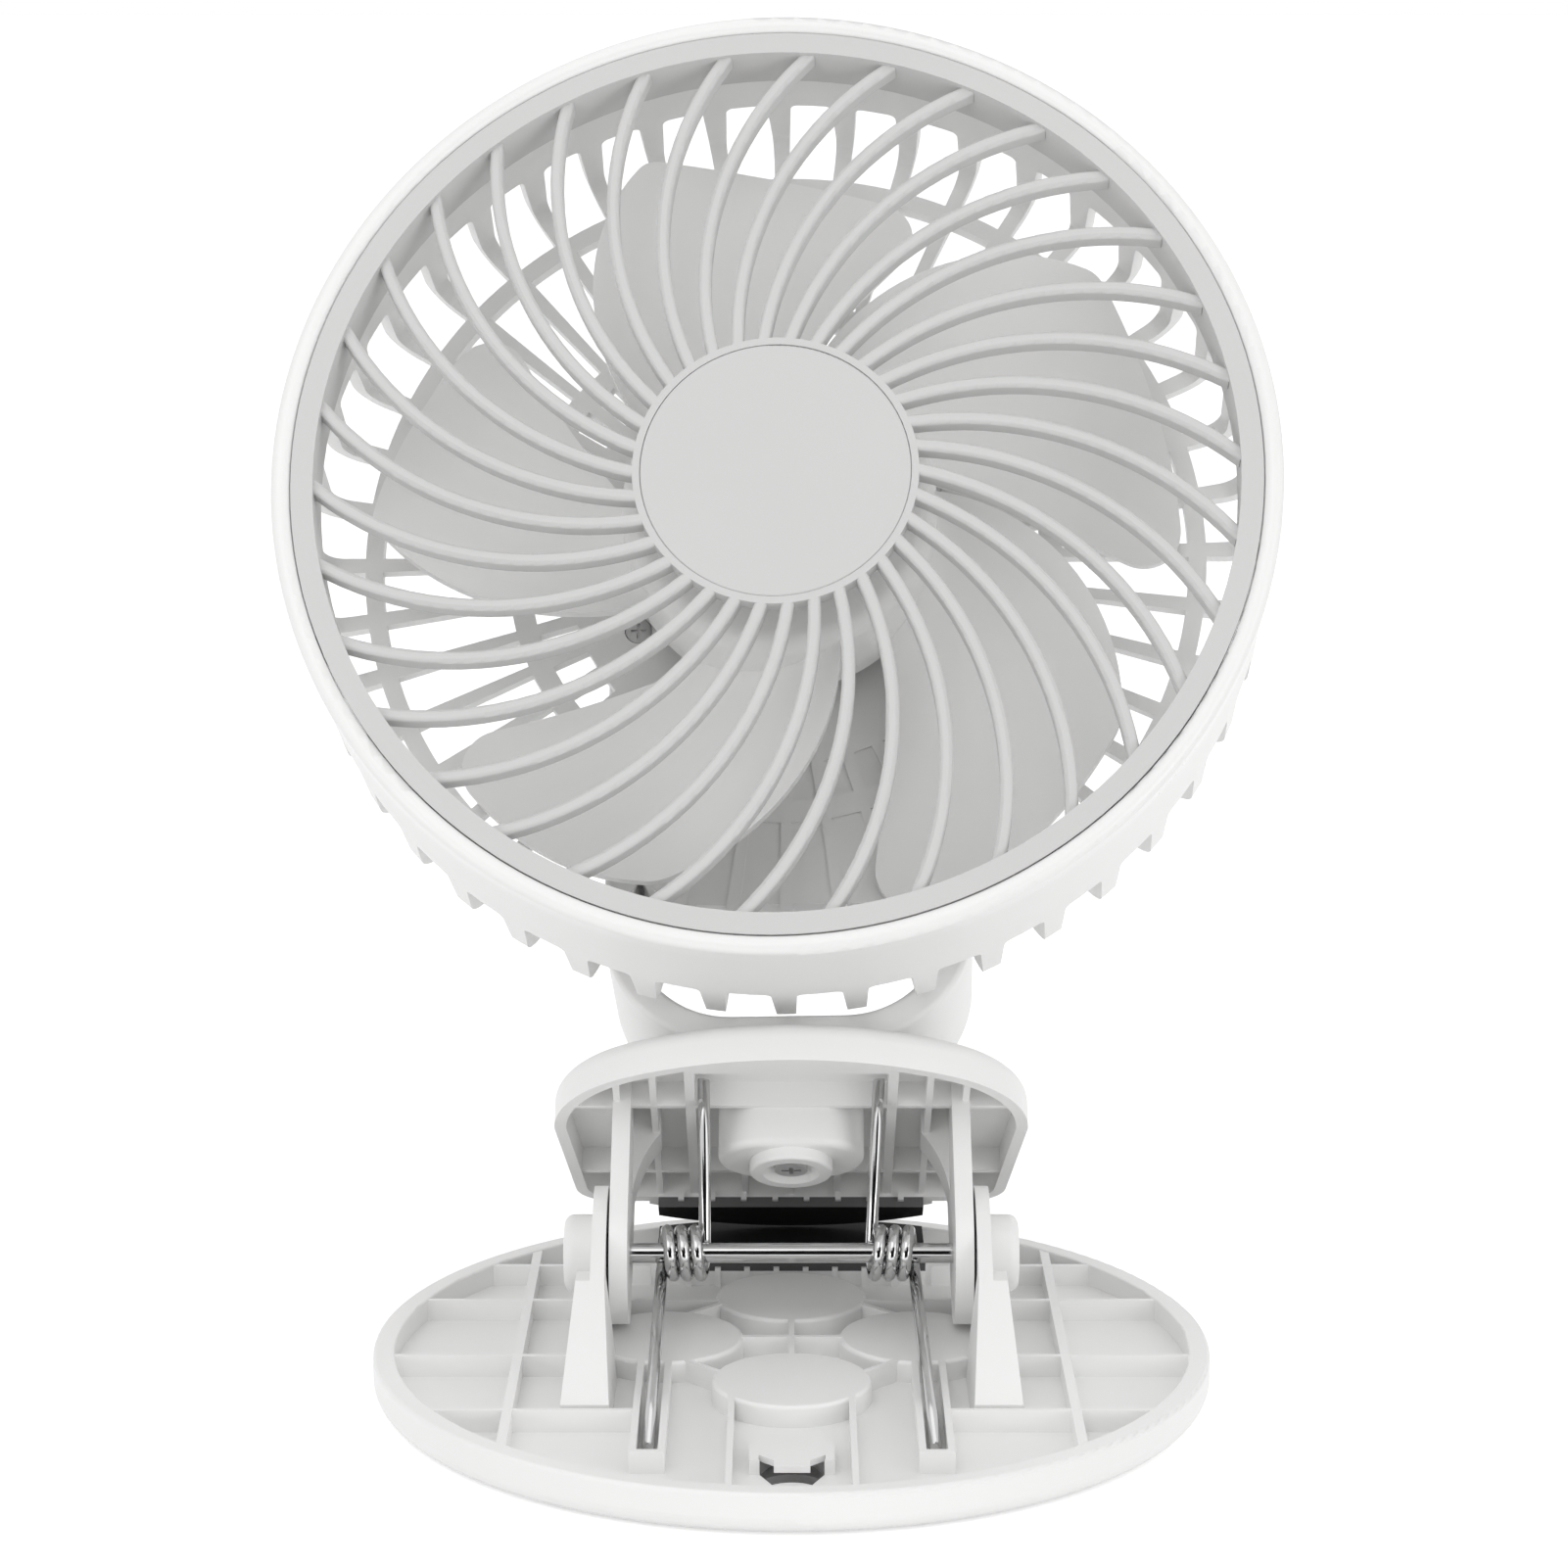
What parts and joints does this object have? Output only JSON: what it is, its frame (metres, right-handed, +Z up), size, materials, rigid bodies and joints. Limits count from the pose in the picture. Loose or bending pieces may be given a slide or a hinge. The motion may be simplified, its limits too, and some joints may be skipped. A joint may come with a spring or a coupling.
{
  "type": "clip fan",
  "caption": "Cordless clip-on table fan: round spiral-grille head on a swivelling, tilting fork, on a sprung clamp whose lower jaw is a round base.",
  "frame": {"origin": "middle of the base's sole, on the surface the fan stands on", "axes": "+Z up, the fan blows towards -Y, +X to the right as the fan is looked at from the front"},
  "size_m": [0.1506, 0.1595, 0.1987],
  "materials": {
    "white_plastic": "fine satin moulded",
    "shell_plastic": "fine satin moulded",
    "ring_plastic": "smooth semi-gloss",
    "grille_plastic": "satin moulded",
    "blade_plastic": "satin moulded",
    "mat_rubber": "matt",
    "pad_rubber": "matt",
    "weight_iron": "zinc plated",
    "polished_steel": "ground",
    "spring_steel": "drawn wire",
    "screw_steel": "plated",
    "cap_plastic": "satin moulded",
    "washer_plastic": "plain",
    "holder_plastic": "plain",
    "cell_wrap": "shrink wrap",
    "foam": "closed foam",
    "board_laminate": "lacquered laminate",
    "socket_steel": "drawn",
    "bush_brass": "sintered",
    "winding_copper": "enamelled wire",
    "stator_steel": "laminated",
    "magnet_ferrite": "sintered"
  },
  "bodies": {
    "base": {"base_plate": "white_plastic", "base_mat": "mat_rubber", "base_weights": "weight_iron", "lower_jaw_pad": "pad_rubber", "hinge_pin": "polished_steel", "pin_caps": "cap_plastic", "spring_left": "spring_steel", "spring_right": "spring_steel"},
    "clamp": {"clamp_lid": "white_plastic", "upper_jaw_pad": "pad_rubber"},
    "fork": {"fork": "white_plastic", "swivel_disc": "white_plastic", "swivel_washer": "screw_steel", "swivel_screw": "screw_steel", "tilt_washers": "washer_plastic"},
    "head": {"rear_shell": "shell_plastic", "trim_ring": "ring_plastic", "front_grille": "grille_plastic", "centre_cap": "grille_plastic", "pod_cover": "white_plastic", "pod_screws": "screw_steel", "tilt_screws": "screw_steel", "battery_holder": "holder_plastic", "battery_cells": "cell_wrap", "battery_pad": "foam", "circuit_board": "board_laminate", "board_screws": "screw_steel", "button_switch": "holder_plastic", "charging_socket": "socket_steel", "bearing_tube": "holder_plastic", "thrust_cap": "washer_plastic", "shaft_bushes": "bush_brass", "stator_core": "stator_steel", "stator_windings": "winding_copper", "motor_board": "board_laminate"},
    "rotor": {"fan_rotor": "blade_plastic", "magnet_ring": "magnet_ferrite", "motor_shaft": "polished_steel", "shaft_clip": "spring_steel"},
    "button": {"power_button": "white_plastic"}
  },
  "joints": [
    {"name": "clamp_hinge", "type": "hinge", "parent": "base", "child": "clamp", "pos_m": [0, 0.0075, 0.0175], "axis": [1, 0, 0], "range_deg": [0, 35], "stiffness_Nm_per_rad": 0.5, "springref_deg": -40.11, "deforming": ["spring_left", "spring_right"]},
    {"name": "swivel", "type": "hinge", "parent": "clamp", "child": "fork", "pos_m": [0, 0.02367, 0.03202], "axis": [0, 0.6157, 0.788], "range_deg": [-180, 180]},
    {"name": "tilt", "type": "hinge", "parent": "fork", "child": "head", "pos_m": [0, 0.07846, 0.10216], "axis": [-0.9993, 0.0302, -0.0236], "range_deg": [0, 95]},
    {"name": "rotor_spin", "type": "hinge", "parent": "head", "child": "rotor", "pos_m": [-0.00239, 0.024, 0.13334], "axis": [-0.038, -0.8672, 0.4965], "continuous": true},
    {"name": "power_press", "type": "slide", "parent": "head", "child": "button", "axis": [-0.038, -0.8672, 0.4965], "range_m": [0, 0.0007], "stiffness_N_per_m": 1200, "springref_m": -0.0006}
  ]
}
